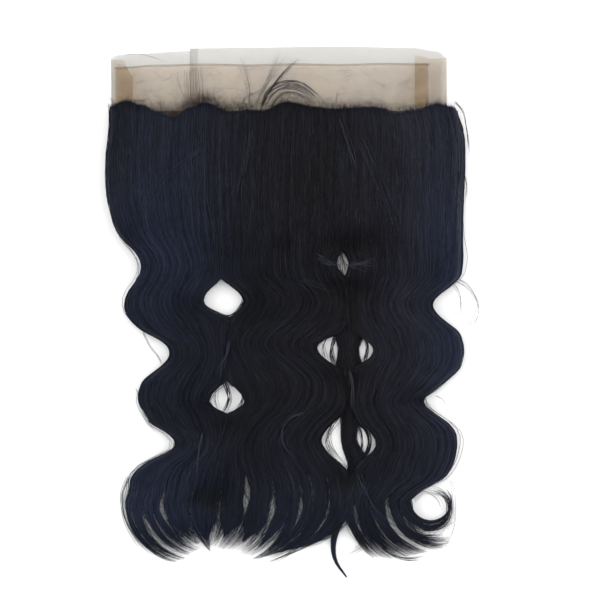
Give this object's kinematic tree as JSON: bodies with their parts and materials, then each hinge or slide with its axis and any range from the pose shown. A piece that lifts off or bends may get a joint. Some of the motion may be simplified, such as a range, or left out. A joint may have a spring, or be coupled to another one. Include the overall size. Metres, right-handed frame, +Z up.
{
  "type": "360 lace closure hairpiece",
  "caption": "Ring-shaped lace closure hairpiece lying flat: a band of sheer lace round an open middle, with long dark body-wave hair on its front and back walls.",
  "frame": {"origin": "on the table, under the middle of the hairpiece's bounding box", "axes": "+X across the flattened lace ring, to the right when seen from above; +Y from the hair's tips to the bare lace edge; +Z up from the table"},
  "size_m": [0.3066, 0.4534, 0.025],
  "materials": {
    "lace_front": "sheer tan lace net, hand-knotted below",
    "lace_back": "sheer pale lace net",
    "hair": "near-black human hair, satin, in body waves"
  },
  "bodies": {
    "root": {"lace_front": "lace_front", "lace_back_right": "lace_back", "lace_back_left": "lace_back", "hair_left": "hair", "hair_middle": "hair", "hair_right": "hair", "hair_back": "hair"}
  },
  "joints": []
}
